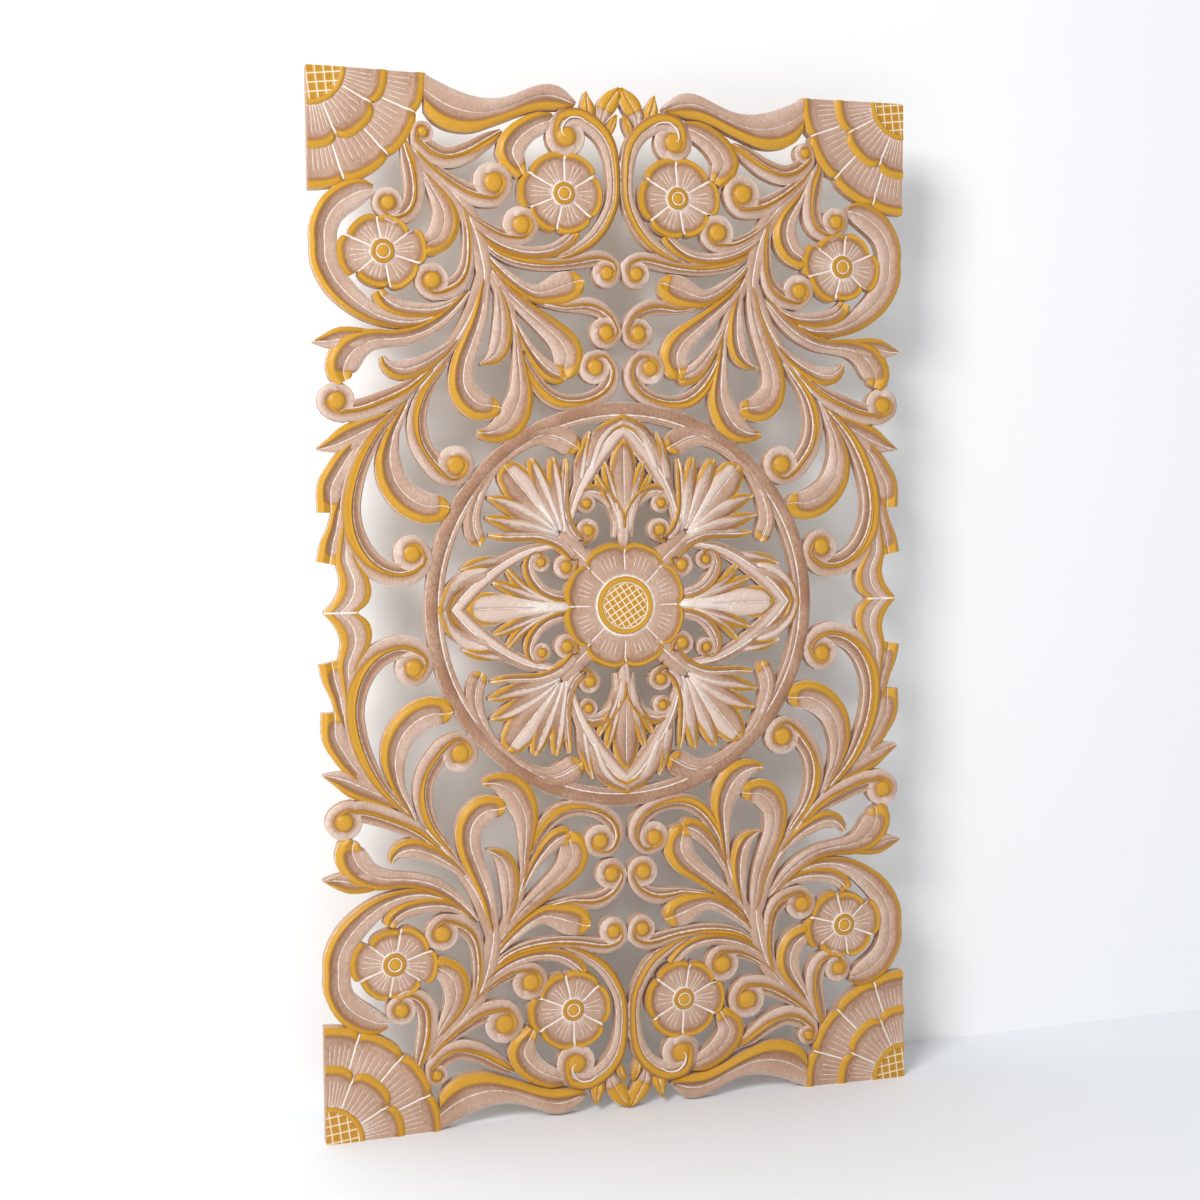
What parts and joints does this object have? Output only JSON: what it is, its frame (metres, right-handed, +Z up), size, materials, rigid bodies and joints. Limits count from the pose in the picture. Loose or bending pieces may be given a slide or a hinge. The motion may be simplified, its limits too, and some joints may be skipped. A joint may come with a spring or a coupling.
{
  "type": "carved wall panel",
  "caption": "Flat rectangular pierced wall panel carved with scrolls, leaves and flowers about a ring, fixed or hung by its flat back.",
  "frame": {"origin": "middle of the flat back face, behind the middle flower", "axes": "+Y out of the back towards the wall, so the carved front faces -Y; +Z up along the height; +X along the width"},
  "size_m": [0.6, 0.015, 1],
  "materials": {
    "painted_wood": "carved board painted pinkish tan with satin gold edges and a worn white wash in the low lines"
  },
  "bodies": {
    "root": {"carved_panel": "painted_wood"}
  },
  "joints": []
}
